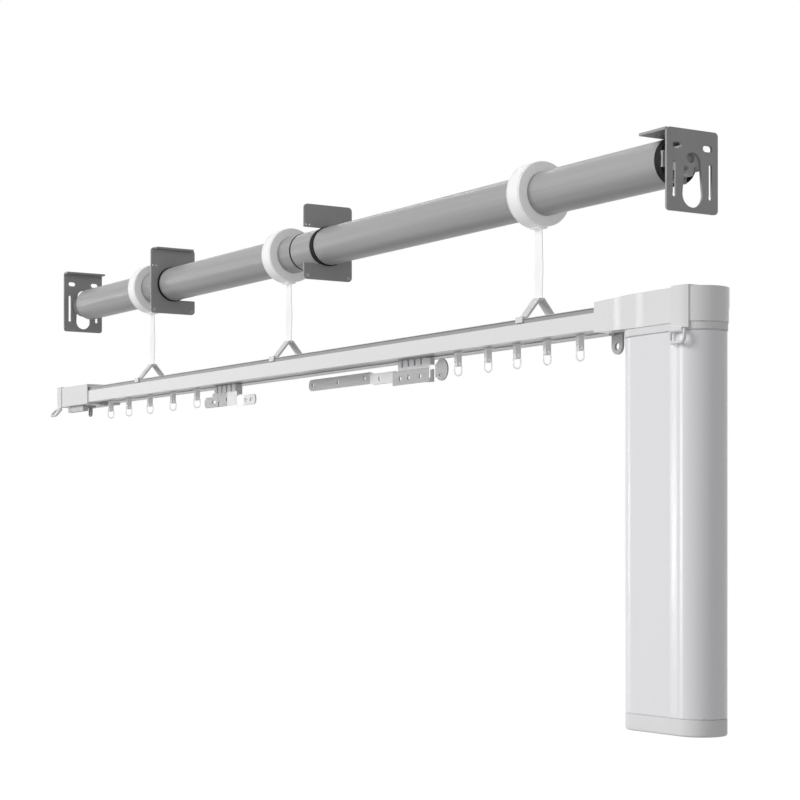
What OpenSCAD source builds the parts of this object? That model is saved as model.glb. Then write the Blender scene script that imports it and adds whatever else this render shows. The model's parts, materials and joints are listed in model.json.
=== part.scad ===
// Motorized curtain lift system: a ceiling-hung roller tube that lowers a motorized curtain track.
// Units are millimetres, +Z is up, X runs along the tube and the track, the drive end is at +X.
// The origin is on the ceiling plane, at the centre of the middle bracket's ceiling flange.

/* [Lift tube] */
// Outer diameter of the lift tube
tube_d = 45; // [43:0.5:48]
// Wall thickness of the lift tube
tube_wall = 1.5; // [1.2:0.1:2]
// Drop from the ceiling plane to the tube axis
axis_drop = 49; // [47:1:56]
// X of the tube's drive end
tube_x_drive = 639; // [636:1:642]
// X of the tube's idler end
tube_x_idler = -700; // [-704:1:-696]

/* [End brackets] */
// X of the outer face of the drive-end plate
end_x_drive = 667; // [665:1:672]
// X of the outer face of the idler-end plate
end_x_idler = -729; // [-734:1:-727]
// Width of both end plates
end_w = 61; // [56:1:66]
// Thickness of the bracket sheet metal
plate_t = 2.5; // [2:0.1:3]
// Drop from the ceiling plane to the top of the drive-end bracket
end_top_drive = 23.3; // [23:0.1:23.4]
// Height of the drive-end plate
end_h_drive = 76; // [74:0.5:80]
// Height of the idler-end plate
end_h_idler = 88; // [84:1:92]
// Length of the drive-end flange along the tube
end_flange = 40; // [30:1:46]
// Length of the idler-end flange along the tube
idler_flange = 14; // [13:0.5:20]
// Corner radius of the end plates
end_corner_r = 4; // [2:0.5:6]
// Diameter of the horizontal and vertical fixing slots
fix_slot_d = 6; // [5.5:0.1:6.5]
// Centre-to-centre travel of a horizontal fixing slot
fix_slot_run = 5; // [4:0.5:6]
// Half spacing of the two horizontal fixing slots
fix_slot_y = 18; // [17:0.5:19]
// Width of the narrow vertical slots
side_slot_d = 3.8; // [3.4:0.1:4.2]
// Half spacing of the narrow vertical slots
side_slot_y = 21.5; // [20:0.5:23]

/* [Middle brackets] */
// Width of each middle bracket
mid_w = 66; // [62:1:70]
// Height of each middle bracket
mid_h = 89.5; // [86:0.5:96]
// Length of a middle bracket's ceiling flange along the tube
mid_flange = 10; // [9:0.5:14]
// Height of the open slot that takes the bearing
mid_slot_h = 43; // [40:0.5:44]
// Corner radius of the middle brackets' plates
mid_corner_r = 5; // [3:0.5:7]
// X of the left middle bracket's plate face towards the drive end
mid_x_left = -418; // [-420:1:-416]
// Length of the coupler collar behind the centre bracket
collar_center = 53; // [40:1:60]
// Length of the coupler collar behind the left bracket
collar_left = 23; // [20:1:24]
// Width of the dark seam ring at a coupler's end
seam_w = 2; // [1:0.5:3]
// Diameter of the ceiling screw holes in the flange
mid_screw_d = 4.2; // [3.5:0.1:4.5]
// Half spacing of the ceiling screw holes
mid_screw_y = 22; // [18:1:26]

/* [Bearings and couplers] */
// Thickness of the motor's black end disc
motor_head_t = 8; // [5:0.5:10]
// Diameter of the tubular motor's body
motor_body_d = 36; // [34:0.5:40]
// X of the tubular motor's inner end
motor_body_x = 180; // [160:5:220]
// Diameter of the tubular motor's output shaft
output_d = 10; // [8:0.5:12]
// Length of the tubular motor's output shaft
output_len = 40; // [34:1:50]
// Diameter of the coupler shaft that turns in each bearing
shaft_d = 16; // [14:0.5:18]
// Running clearance on the radius of every journal
journal_gap = 0.05; // [0.03:0.01:0.08]
// Diameter of the black bearing ring next to the tube
bearing_d = 47; // [46:0.2:50]
// Thickness of the black bearing ring
bearing_t = 3; // [2:0.5:5]
// Diameter of the rear bearing flange
bearing_back_d = 45; // [44.5:0.5:46]
// Length of a coupler spigot inside a tube section
spigot_len = 28; // [20:1:34]
// Free gap between a turning face and a fixed face
face_gap = 0.5; // [0.4:0.1:1]

/* [Strap spools] */
// X centres of the three strap spools
spool_x = [429.4, -91.2, -484];
// Outer diameter of the spool flanges
spool_d = 66; // [62:0.5:70]
// Width of a spool
spool_w = 22; // [20:0.5:24]
// Thickness of a spool flange
spool_flange_t = 2.5; // [2:0.1:3]
// Diameter of the core that the strap winds on
spool_core_d = 49; // [48:0.5:51]
// Diameter of the shoulders that carry the guide ring
guide_seat_d = 56.4; // [55:0.2:58]
// Outer diameter of the strap guide ring
guide_d = 66; // [62:0.5:67]

/* [Straps and hangers] */
// Width of the lift strap
strap_w = 12; // [10:0.5:15]
// Thickness of the lift strap
strap_t = 0.8; // [0.5:0.1:1.2]
// Z of the hanger's top, where the strap is fixed
hanger_top_z = -154; // [-158:1:-150]
// Width of the hanger strip along the track
hanger_w = 12; // [10:0.5:15]
// Thickness of the hanger strip
hanger_t = 2; // [1.5:0.1:2.5]

/* [Track rail] */
// Width of the rail
rail_w = 49; // [46:1:52]
// Height of the rail
rail_h = 21.9; // [21:0.1:24]
// Z of the rail's top face
rail_top_z = -176.4; // [-178:0.1:-175]
// Wall thickness of the rail
rail_wall = 1.6; // [1.4:0.1:2]
// Height of the recessed dark band under the rail's top edge
rail_band_h = 5.1; // [4.8:0.1:5.6]
// Depth of that recess
rail_band_in = 1.2; // [0.8:0.1:1.4]
// Width of the runner slot in the rail's underside
mouth_w = 9; // [8:0.5:10]
// X of the rail's drive end, inside the gearbox neck
rail_x_drive = 564; // [562:1:566]
// X of the rail's idler end, inside the pulley box
rail_x_idler = -662; // [-664:1:-660]

/* [Belt drive] */
// Radius of the belt's inner face on the pulleys
belt_r = 13.25; // [13:0.05:13.5]
// Thickness of the belt
belt_t = 1.5; // [1.2:0.1:1.8]
// Height of the belt
belt_h = 6; // [5:0.5:6.5]
// X of the drive pulley axis
drive_x = 620; // [616:1:624]
// X of the idler pulley axis
idler_x = -705; // [-710:1:-700]

/* [Motor] */
// Half width of the motor and radius of its rounded ends
motor_r = 25; // [24:0.5:25.2]
// X of the rounded end towards the track
motor_x0 = 609; // [606:1:612]
// X of the rounded end away from the track
motor_x1 = 677; // [674:1:684]
// Z of the top of the gearbox head
head_top_z = -170; // [-171:0.5:-168]
// Z of the seam under the gearbox head
head_seam_z = -202; // [-203:0.5:-201]
// Z of the seam under the lock ring
lock_seam_z = -210.3; // [-212:0.1:-209]
// Z of the seam above the bottom cap
cap_seam_z = -561; // [-570:1:-520]
// Height of the bottom cap
cap_h = 16.5; // [14:0.5:20]
// Wall thickness of the motor housing
shell_t = 2; // [1.6:0.1:2.6]

/* [Clip levers] */
// Diameter of the pivot pin and thickness of a clip lever
lever_pin_d = 2.2; // [1.8:0.1:2.4]
// Width of a clip lever's arms
lever_arm_w = 3.6; // [2.4:0.1:3.6]

/* [Pulley box strip] */
// X of the free end of the strip under the pulley box
strip_x0 = -732; // [-734:1:-730]
// Length of the strip
strip_len = 56; // [50:1:60]
// Drop of the strip below the box
strip_h = 9; // [7:0.5:10]
// X of the small eye tab under the pulley box
eye_tab_x = -699; // [-701:0.5:-697]

/* [Gliders] */
// X positions of the first four gliders on the drive side, from the drive end
glider_x_drive = [498.2, 443.6, 391.6, 339.3];
// X positions of the first four gliders on the idler side, from the idler end
glider_x_idler = [-625.4, -562.7, -492.3, -418.5];
// Distance from the drive-side comb block to the fifth glider
glider_gap_drive = 53.6; // [50:0.2:60]
// Distance from the idler-side comb block to the fifth glider
glider_gap_idler = 60.9; // [50:0.1:64]
// Length of a glider along the track
glider_len = 12; // [10:0.5:12]
// Width of a glider's fork across the track
fork_w = 6.4; // [6:0.2:8]
// Diameter of the glider's cross pin
pin_d = 2.4; // [2:0.1:2.8]
// Width of the oval ring
ring_w = 11; // [9:0.5:12]
// Height of the oval ring
ring_h = 16; // [14:0.5:17]
// Thickness of the oval ring
ring_t = 1.8; // [1.4:0.1:2]

/* [Master carriers] */
// X range of the drive-side comb block
comb_r = [169.4, 229.1];
// X range of the idler-side comb block
comb_l = [-284, -224];
// Thickness of the comb blocks
comb_t = 10; // [9:0.5:11]
// Thickness of the steel arms
arm_t = 1.6; // [1.2:0.1:2]
// Diameter of the arm holes
arm_hole_d = 4.6; // [3:0.2:5]
// Z of the top of the steel arms' plates
arm_top_z = -210.6; // [-211:0.1:-210]
// Z of the bottom of the steel arms' plates
arm_low_z = -226; // [-227:0.5:-225]
// X range of the drive arm's jog plate, from the comb block
jog_x = [-59.4, -12.4];
// Z range of the jog plate
jog_z = [-221.5, -208.5];
// X range of the overlap bar, from the comb block
over_x = [-214.9, -78.6];
// Z range of the overlap bar
over_z = [-218.7, -205];
// X of the curled end's centre past the comb block
curl_x = 30.9; // [30:0.1:32]
// Z of the curled end's centre
curl_z = -214.6; // [-215:0.1:-214]
// X of the idler arm's rounded tail, from the comb block
tail_x = -18.3; // [-19:0.1:-17]
// Reach of the idler arm's end plate past the comb block
reach_idler = 50.6; // [49:0.1:52]
// Z of the underside of the two comb blocks' wide part, drive side first
comb_low_z = [-210.3, -211.8];
// Diameter of the curled end
curl_d = 24; // [23:0.5:25]
// X range of the notch beside the curled end, past the comb block
notch_x = [8.5, 16.9];
// Height of that notch above the bottom of the arms' plates
notch_h = 13; // [10:0.5:14]
// X of the holes in the drive arm's front plate, from the comb block
drive_hole_x = [6.7, 24.4, 48];
// Height of those holes above the bottom of the arms' plates
drive_hole_h = 7.2; // [6:0.1:8]
// Depth of the step over the idler arm's tail, below the top of the arms' plates
tail_step = 1.4; // [1:0.1:2]
// X of the end of that step, from the comb block
tail_step_x = -2; // [-3:0.1:-1]
// X of the idler arm's front slot, from the comb block
idler_slot_x = 2.4; // [1:0.1:4]
// X of the idler arm's front hole, from the comb block
idler_hole_x = 38.2; // [36:0.1:40]
// X of the two holes in the idler arm's end plate, past the comb block
idler_end_hole_x = [31.8, 45.4];

/* [Drive-end stop] */
// Width of the eye tab under the stop
eye_w = 16.8; // [15:0.2:17]
// Depth of the eye tab's round end below the rail
eye_drop = 14.3; // [13:0.1:15]
// Diameter of the eye
eye_hole_d = 7; // [5:0.5:8]

/* [Hidden] */
$fn = 48;
eps = 0.01;
tube_id = tube_d - 2 * tube_wall;
mid_x_center = 5;
seam_center_x = mid_x_center - collar_center;
seam_left_x = mid_x_left - collar_left;
axis_z = -axis_drop;
rail_bottom_z = rail_top_z - rail_h;
cavity_top_z = rail_top_z - rail_band_h - 1.5;
cavity_bottom_z = rail_bottom_z + rail_wall;
belt_z = -190;
cap_bottom_z = cap_seam_z - cap_h;
housing_h = lock_seam_z - cap_seam_z;
head_r = motor_r + 1.3;
head_wall = 3;
sleeve_w = rail_w + 3.6;
ring_pin_z = rail_bottom_z - 11.5;
fork_x = ring_t / 2 + 1.7;
over_mid_z = (over_z[0] + over_z[1]) / 2;
glider_all_drive = concat(glider_x_drive, [comb_r[1] + glider_gap_drive]);
glider_all_idler = concat(glider_x_idler, [comb_l[0] - glider_gap_idler]);
sleeve_top_z = rail_top_z + 4.4;
sleeve_bottom_z = rail_bottom_z - 2.5;
box_x0 = -763;
box_x1 = -651;
neck_x0 = 554;
stop_x_drive = 549;
stop_x_idler = -638;
eye_x = stop_x_drive + 8.9;
eye_z = rail_bottom_z - eye_drop;
arm_back_y = -comb_t / 2;
arm_front_y = arm_back_y - arm_t;
over_y = comb_t / 2 + 1;
nib_bottom = 34.5;
clip_eye_drop = 1.8;
strap_top_z = axis_z - nib_bottom;
steel_grey = [0.46, 0.46, 0.47];
tube_grey = [0.62, 0.62, 0.62];
dark = [0.07, 0.07, 0.08];
white = [0.93, 0.93, 0.94];
light_grey = [0.72, 0.72, 0.74];
mid_grey = [0.55, 0.55, 0.57];

// A box from its limits on each axis.
module bar(x0, x1, y0, y1, z0, z1) {
  translate([x0, y0, z0]) cube([x1 - x0, y1 - y0, z1 - z0]);
}

// A cylinder along X.
module xcyl(x0, x1, d, y = 0, z = 0) {
  translate([x0, y, z]) rotate([0, 90, 0]) cylinder(h = x1 - x0, d = d);
}

// A cylinder along Y.
module ycyl(y0, y1, d, x = 0, z = 0) {
  translate([x, y1, z]) rotate([90, 0, 0]) cylinder(h = y1 - y0, d = d);
}

// A cylinder along Z.
module zcyl(z0, z1, d, x = 0, y = 0) {
  translate([x, y, z0]) cylinder(h = z1 - z0, d = d);
}

// A tube along X around the lift axis.
module axis_tube(x0, x1, outer, inner) {
  difference() {
    xcyl(x0, x1, outer, 0, axis_z);
    xcyl(x0 - 1, x1 + 1, inner, 0, axis_z);
  }
}

// A round-ended solid, long in X, between two heights.
module stadium(x0, x1, r, z0, z1) {
  bar(x0, x1, -r, r, z0, z1);
  zcyl(z0, z1, 2 * r, x0, 0);
  zcyl(z0, z1, 2 * r, x1, 0);
}

// A flat plate across X with round corners.
module round_plate(x0, x1, half_w, z0, z1, r) {
  bar(x0, x1, -half_w + r, half_w - r, z0, z1);
  bar(x0, x1, -half_w, half_w, z0 + r, z1 - r);
  for (y = [-half_w + r, half_w - r], z = [z0 + r, z1 - r]) {
    xcyl(x0, x1, 2 * r, y, z);
  }
}

// A slot through X that runs along Y.
module slot_y(x0, x1, y, z, run, d) {
  bar(x0, x1, y - run / 2, y + run / 2, z - d / 2, z + d / 2);
  xcyl(x0, x1, d, y - run / 2, z);
  xcyl(x0, x1, d, y + run / 2, z);
}

// A narrow slot through X that runs down Z and ends in a wider round hole.
module slot_z(x0, x1, y, z_top, z_low, d) {
  bar(x0, x1, y - d / 2, y + d / 2, z_low, z_top);
  xcyl(x0, x1, d, y, z_top);
  xcyl(x0, x1, d * 1.2, y, z_low);
}

// The large keyhole of an end plate: narrow at the top, wide at the bottom.
module keyhole(x0, x1, z_top, z_low, r_top, r_low) {
  translate([x0, 0, 0]) rotate([90, 0, 90]) linear_extrude(height = x1 - x0)
    polygon([
      [-r_top, z_top - r_top], [r_top, z_top - r_top],
      [r_low, z_low + r_low], [-r_low, z_low + r_low]
    ]);
  xcyl(x0, x1, 2 * r_top, 0, z_top - r_top);
  xcyl(x0, x1, 2 * r_low, 0, z_low + r_low);
}

module end_bracket_drive() {
  top = -end_top_drive;
  low = top - end_h_drive;
  x1 = end_x_drive;
  x0 = x1 - plate_t;
  color(steel_grey) difference() {
    union() {
      round_plate(x0, x1, end_w / 2, low, top, end_corner_r);
      bar(x1 - end_flange, x1 - end_corner_r / 2, -end_w / 2, end_w / 2, top - plate_t, top);
      bar(x0, x1, -end_w / 2 + end_corner_r, end_w / 2 - end_corner_r, top - 6, top);
    }
    for (s = [-1, 1]) {
      slot_y(x0 - 1, x1 + 1, s * fix_slot_y, top - 16, fix_slot_run, fix_slot_d);
      slot_z(x0 - 1, x1 + 1, s * side_slot_y, top - 32, top - 61, side_slot_d);
      zcyl(top - plate_t - 1, top + 1, 5, x1 - end_flange + 12, s * 18);
    }
    keyhole(x0 - 1, x1 + 1, top - 21, top - 71.5, 9.5, 12);
  }
}

module end_bracket_idler() {
  top = 0;
  low = -end_h_idler;
  x0 = end_x_idler;
  x1 = x0 + plate_t;
  color(steel_grey) difference() {
    union() {
      round_plate(x0, x1, end_w / 2, low, top, end_corner_r);
      bar(x0 + end_corner_r / 2, x0 + idler_flange, -end_w / 2, end_w / 2, -plate_t, top);
      bar(x0, x1, -end_w / 2 + end_corner_r, end_w / 2 - end_corner_r, top - 6, top);
    }
    for (s = [-1, 1]) {
      slot_y(x0 - 1, x1 + 1, s * fix_slot_y, -17, fix_slot_run, fix_slot_d);
      slot_z(x0 - 1, x1 + 1, s * side_slot_y, -36, -71, side_slot_d);
      zcyl(-plate_t - 1, 1, 5, x0 + (plate_t + idler_flange) / 2, s * 18);
    }
    keyhole(x0 - 1, x1 + 1, -26, -83.5, 9, 11);
  }
}

// One middle bracket: a plate with an open slot towards -Y and a short ceiling flange.
module mid_bracket() {
  x1 = mid_flange / 2;
  x0 = x1 - plate_t;
  color(steel_grey) difference() {
    union() {
      round_plate(x0, x1, mid_w / 2, -mid_h, 0, mid_corner_r);
      bar(-mid_flange / 2, x1 - 0.8, -mid_w / 2 + mid_corner_r, mid_w / 2 - mid_corner_r, -plate_t, 0);
    }
    bar(x0 - 1, x1 + 1, -mid_w, 0, axis_z - mid_slot_h / 2, axis_z + mid_slot_h / 2);
    xcyl(x0 - 1, x1 + 1, mid_slot_h, 0, axis_z);
    for (s = [-1, 1]) {
      zcyl(-plate_t - 1, 1, mid_screw_d, (x0 - mid_flange / 2) / 2, s * mid_screw_y);
      xcyl(x0 - 1, x1 + 1, 3.2, s * 28, -mid_h + 4.6);
      xcyl(x0 - 1, x1 + 1, 2.4, s * 30, -24.5);
      xcyl(x0 - 1, x1 + 1, 2.4, s * 25, -24.5);
    }
  }
}

module mid_bracket_center() {
  mid_bracket();
}

module mid_bracket_left() {
  translate([mid_x_left + mid_flange / 2 - plate_t, 0, 0]) rotate([0, 0, 180]) mid_bracket();
}

// A bearing: hub in the bracket slot, black ring towards the drive end, flange behind.
module bearing(x_face) {
  difference() {
    union() {
      xcyl(x_face - plate_t, x_face, mid_slot_h, 0, axis_z);
      xcyl(x_face, x_face + bearing_t, bearing_d, 0, axis_z);
      xcyl(x_face - plate_t - 3.5, x_face - plate_t, bearing_back_d, 0, axis_z);
    }
    xcyl(x_face - 10, x_face + 10, shaft_d + 2 * journal_gap, 0, axis_z);
  }
}

module bearings() {
  color(dark) {
    bearing(mid_x_center);
    bearing(mid_x_left);
  }
}

module motor_head() {
  color(dark) difference() {
    xcyl(tube_x_drive + face_gap, tube_x_drive + motor_head_t, 44, 0, axis_z);
    for (a = [0:30:330]) {
      translate([0, 0, axis_z]) rotate([a, 0, 0])
        xcyl(tube_x_drive + motor_head_t - 1.5, tube_x_drive + motor_head_t + 1, 2.4, 18, 0);
    }
  }
}

// The light star-shaped drive piece between the motor head and the end plate.
module motor_star() {
  x0 = tube_x_drive + motor_head_t;
  x1 = end_x_drive - plate_t;
  color(light_grey) difference() {
    union() {
      xcyl(x0, x1, 19, 0, axis_z);
      for (a = [0:90:270]) {
        translate([0, 0, axis_z]) rotate([a, 0, 0]) bar(x0, x0 + 3, -7.5, 7.5, 0, 21);
      }
      for (a = [0:60:300]) {
        translate([0, 0, axis_z]) rotate([a, 0, 0]) bar(x0 + 4, x1, -3.2, 3.2, 0, 16);
      }
    }
    xcyl(x1 - 4, x1 + 1, 9, 0, axis_z);
  }
}

module tubular_motor() {
  color(mid_grey) {
    xcyl(motor_body_x, tube_x_drive + face_gap, motor_body_d, 0, axis_z);
    xcyl(motor_body_x - output_len, motor_body_x, output_d, 0, axis_z);
  }
}

module idler_pin() {
  x0 = end_x_idler + plate_t;
  color(light_grey) {
    xcyl(x0, x0 + 3, 32, 0, axis_z);
    xcyl(x0, tube_x_idler + 20, 10, 0, axis_z);
  }
}

// The ring that keeps the strap centred under a spool, with its outlet at the bottom.
module strap_guide(x) {
  half = spool_w / 2 - spool_flange_t - 0.4;
  difference() {
    union() {
      xcyl(x - half, x + half, guide_d, 0, axis_z);
      bar(x - half, x + half, -5, 5, axis_z - nib_bottom, axis_z - guide_d / 2 + 3);
    }
    xcyl(x - half - 1, x + half + 1, guide_seat_d + 2 * journal_gap, 0, axis_z);
  }
}

module strap_guides() {
  color(light_grey) for (x = spool_x) strap_guide(x);
}

module tube_drive() {
  color(tube_grey) axis_tube(mid_x_center + bearing_t + face_gap, tube_x_drive, tube_d, tube_id);
}

module tube_middle() {
  color(tube_grey) axis_tube(mid_x_left + bearing_t + face_gap, seam_center_x - seam_w, tube_d, tube_id);
}

module tube_idler() {
  color(tube_grey) axis_tube(tube_x_idler, seam_left_x - seam_w, tube_d, tube_id);
}

// A coupler: spigot, collar, bearing shaft and plug, all turned in one.
module coupler(x_face, collar_x0) {
  collar_x1 = x_face - plate_t - 3.5 - face_gap;
  plug_x0 = x_face + bearing_t + face_gap;
  xcyl(collar_x0 - seam_w - spigot_len, collar_x0, tube_id, 0, axis_z);
  xcyl(collar_x0, collar_x1, tube_d, 0, axis_z);
  xcyl(collar_x1, plug_x0, shaft_d, 0, axis_z);
  xcyl(plug_x0, plug_x0 + spigot_len, tube_id, 0, axis_z);
}

module tube_couplers() {
  color(tube_grey) {
    coupler(mid_x_center, seam_center_x);
    coupler(mid_x_left, seam_left_x);
  }
}

module seam_rings() {
  color(dark) {
    axis_tube(seam_center_x - seam_w, seam_center_x, tube_d + 1, tube_id);
    axis_tube(seam_left_x - seam_w, seam_left_x, tube_d + 1, tube_id);
  }
}

module drive_adapter() {
  color(mid_grey) axis_tube(motor_body_x - 30, motor_body_x - 12, tube_id, output_d + 2 * journal_gap);
}

module idler_plug() {
  color(dark) axis_tube(tube_x_idler, tube_x_idler + 24, tube_id, 10 + 2 * journal_gap);
}

// A spool: two flanges, two shoulders for the guide ring and a core for the strap.
module spool(x) {
  half = spool_w / 2;
  inner = half - spool_flange_t;
  difference() {
    union() {
      xcyl(x - half, x + half, spool_core_d, 0, axis_z);
      xcyl(x - inner, x - inner + 1.5, guide_seat_d, 0, axis_z);
      xcyl(x + inner - 1.5, x + inner, guide_seat_d, 0, axis_z);
      xcyl(x - half, x - inner, spool_d, 0, axis_z);
      xcyl(x + inner, x + half, spool_d, 0, axis_z);
    }
    xcyl(x - half - 1, x + half + 1, tube_d, 0, axis_z);
  }
}

module strap_spools() {
  color(white) for (x = spool_x) spool(x);
}

module lift_straps() {
  color(white) for (x = spool_x) {
    bar(x - strap_w / 2, x + strap_w / 2, -strap_t / 2, strap_t / 2, hanger_top_z, strap_top_z);
  }
}

// One hanger: an inverted V of strip that straddles the rail and hooks over its top edges.
module hanger(x) {
  foot_z = rail_top_z + hanger_t;
  lip_in = rail_w / 2 - rail_band_in;
  lip_out = lip_in + 1.6;
  translate([x - hanger_w / 2, 0, 0]) rotate([90, 0, 90]) linear_extrude(height = hanger_w)
    for (s = [-1, 1]) {
      polygon([
        [0, hanger_top_z], [s * 3, hanger_top_z], [s * 20, foot_z], [s * lip_out, foot_z],
        [s * lip_out, rail_top_z - 4], [s * lip_in, rail_top_z - 4], [s * lip_in, rail_top_z],
        [s * 18.6, rail_top_z], [s * 2, hanger_top_z - 2.6], [0, hanger_top_z - 2.6]
      ]);
    }
}

module strap_hangers() {
  color(mid_grey) for (x = spool_x) hanger(x);
}

module track_rail() {
  half = rail_w / 2;
  band = half - rail_band_in;
  shelf_z = rail_top_z - rail_band_h;
  x0 = rail_x_idler - 1;
  x1 = rail_x_drive + 1;
  color(white) difference() {
    union() {
      bar(rail_x_idler, rail_x_drive, -half, half, rail_bottom_z, shelf_z);
      bar(rail_x_idler, rail_x_drive, -band, band, shelf_z - 1, rail_top_z);
    }
    bar(x0, x1, -half + rail_wall, half - rail_wall, cavity_bottom_z, cavity_top_z);
    bar(x0, x1, -mouth_w / 2, mouth_w / 2, rail_bottom_z - 1, cavity_bottom_z + 1);
    bar(x0, x1, -5, 5, rail_top_z - 0.6, rail_top_z + 1);
  }
}

module drive_belt() {
  z0 = belt_z - belt_h / 2;
  z1 = belt_z + belt_h / 2;
  color(dark) difference() {
    stadium(idler_x, drive_x, belt_r + belt_t, z0, z1);
    stadium(idler_x, drive_x, belt_r, z0 - 1, z1 + 1);
  }
}

// The space that the rail's end takes inside a sleeve.
module rail_socket(x0, x1) {
  bar(x0, x1, -rail_w / 2, rail_w / 2, rail_bottom_z, rail_top_z);
}

module pulley_box() {
  color(white) {
    difference() {
      bar(box_x0, box_x1, -sleeve_w / 2, sleeve_w / 2, sleeve_bottom_z, sleeve_top_z);
      bar(box_x0 + 2, rail_x_idler - 1, -21, 21, sleeve_bottom_z + 2, sleeve_top_z - 2);
      rail_socket(rail_x_idler, box_x1 + 1);
      bar(rail_x_idler - 2, rail_x_idler + 1, -19, 19, belt_z - 5, belt_z + 5);
      bar(rail_x_idler, box_x1 + 1, -6, 6, sleeve_bottom_z - 1, sleeve_bottom_z + 4);
    }
    zcyl(sleeve_bottom_z + 2, belt_z - 3.8, 12, idler_x, 0);
    zcyl(sleeve_bottom_z + 2, sleeve_top_z - 2, 6, idler_x, 0);
  }
}

module pulley_box_base() {
  color(mid_grey) {
    bar(strip_x0, strip_x0 + strip_len, -22, -14, sleeve_bottom_z - strip_h, sleeve_bottom_z - 2.4);
    bar(strip_x0 + 4, strip_x0 + strip_len - 4, -20.5, -15.5, sleeve_bottom_z - 2.4, sleeve_bottom_z);
  }
}

module gearbox_head() {
  color(white) difference() {
    union() {
      stadium(motor_x0, motor_x1, head_r, head_seam_z, head_top_z);
      hull() {
        bar(neck_x0, neck_x0 + 1, -sleeve_w / 2, sleeve_w / 2, sleeve_bottom_z, sleeve_top_z);
        bar(motor_x0 - 1, motor_x0, -head_r, head_r, head_seam_z, head_top_z);
      }
    }
    stadium(motor_x0, motor_x1, head_r - head_wall, head_seam_z + 3, head_top_z - head_wall);
    rail_socket(neck_x0 - 1, rail_x_drive);
    bar(rail_x_drive - 1, motor_x0, -19, 19, belt_z - 5, belt_z + 5);
    bar(neck_x0 - 1, rail_x_drive + 12, -6, 6, sleeve_bottom_z - 1, sleeve_bottom_z + 4);
    zcyl(head_seam_z - 1, head_seam_z + 4, 28, drive_x, 0);
  }
}

module lock_ring() {
  color(white) difference() {
    stadium(motor_x0, motor_x1, motor_r + 0.6, lock_seam_z, head_seam_z);
    zcyl(lock_seam_z - 1, head_seam_z + 1, 24, drive_x, 0);
  }
}

module motor_housing() {
  color(white) difference() {
    stadium(motor_x0, motor_x1, motor_r, cap_seam_z, lock_seam_z);
    stadium(motor_x0, motor_x1, motor_r - shell_t, cap_seam_z - 1, lock_seam_z + 1);
  }
}

module motor_bottom_cap() {
  color(white) {
    hull() {
      stadium(motor_x0, motor_x1, motor_r - 1.6, cap_bottom_z, cap_seam_z);
      stadium(motor_x0, motor_x1, motor_r, cap_bottom_z + 1.6, cap_seam_z);
    }
    stadium(motor_x0, motor_x1, motor_r - shell_t, cap_seam_z - 1, cap_seam_z + 5);
  }
}

module motor_core() {
  color(mid_grey) difference() {
    union() {
      zcyl(lock_seam_z - 0.2 * housing_h, lock_seam_z, 1.6 * motor_r, drive_x, 0);
      zcyl(lock_seam_z - 0.46 * housing_h, lock_seam_z - 0.2 * housing_h, 1.44 * motor_r, drive_x, 0);
    }
    zcyl(lock_seam_z - 34, lock_seam_z + 1, 8 + 2 * journal_gap, drive_x, 0);
  }
}

module battery_pack() {
  half = 0.72 * motor_r;
  low = cap_seam_z + 5;
  color(mid_grey) bar(motor_x0 - 6, motor_x1 + 6, -half, half, low, low + 0.42 * housing_h);
}

// A clip: a thin band over the sleeve or head, with an eye for the lever's pivot at the front.
module clip_band_box() {
  x0 = box_x0 + 2;
  x1 = x0 + 15;
  half = sleeve_w / 2;
  bar(x0, x1, -half - 1.2, -half, sleeve_bottom_z - 2, sleeve_top_z + 1.2);
  bar(x0, x1, -half - 1.2, half + 1.2, sleeve_top_z, sleeve_top_z + 1.2);
  bar(x0, x1, half, half + 1.2, sleeve_bottom_z + 4, sleeve_top_z + 1.2);
  difference() {
    xcyl(x0, x1, 4.6, -half - 1.6, sleeve_bottom_z - 3.5);
    xcyl(x0 - 1, x1 + 1, lever_pin_d + 2 * journal_gap, -half - 1.6, sleeve_bottom_z - 3.5);
  }
}

module clip_band_head() {
  x0 = motor_x1 - 8;
  x1 = motor_x1 + 12.7;
  low = head_seam_z - 5.6;
  difference() {
    intersection() {
      difference() {
        stadium(motor_x0, motor_x1, head_r + 1.2, low, head_top_z + 1.2);
        stadium(motor_x0, motor_x1, head_r, low - 1, head_top_z);
      }
      bar(x0, x1, -head_r - 2, head_r + 2, low, head_top_z + 2);
    }
    bar(x0 - 1, x1 + 1, 0, head_r + 3, low - 1, head_seam_z + 14);
  }
  difference() {
    union() {
      xcyl(x0 + 3, x1 - 3, 4.6, -head_r - 1.7, low - clip_eye_drop);
      bar(x0 + 3, x0 + 10, -head_r - 1.2, -head_r, low - clip_eye_drop, low + 1);
    }
    xcyl(x0 - 1, x1 + 1, lever_pin_d + 2 * journal_gap, -head_r - 1.7, low - clip_eye_drop);
  }
}

module clip_bands() {
  color(white) {
    clip_band_box();
    clip_band_head();
  }
}

// A wire loop hung from a pivot along X: pivot bar, two arms and a wider bottom bar.
module lever_loop(x0, x1, drop) {
  half_t = lever_pin_d / 2;
  xcyl(x0, x1, lever_pin_d, 0, 0);
  for (x = [x0, x1 - lever_arm_w]) {
    bar(x, x + lever_arm_w, -half_t, half_t, -drop, 0);
  }
  bar(x0, x1, -half_t, half_t, -drop - lever_arm_w / 2, -drop + lever_arm_w / 2);
}

module clip_lever_drive() {
  x0 = motor_x1 - 8;
  x1 = motor_x1 + 12.7;
  low = head_seam_z - 5.6;
  color(white) translate([0, -head_r - 1.7, low - clip_eye_drop]) rotate([-6, 0, 0])
    lever_loop(x0 - 1, x1 + 1, 11.5);
}

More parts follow.
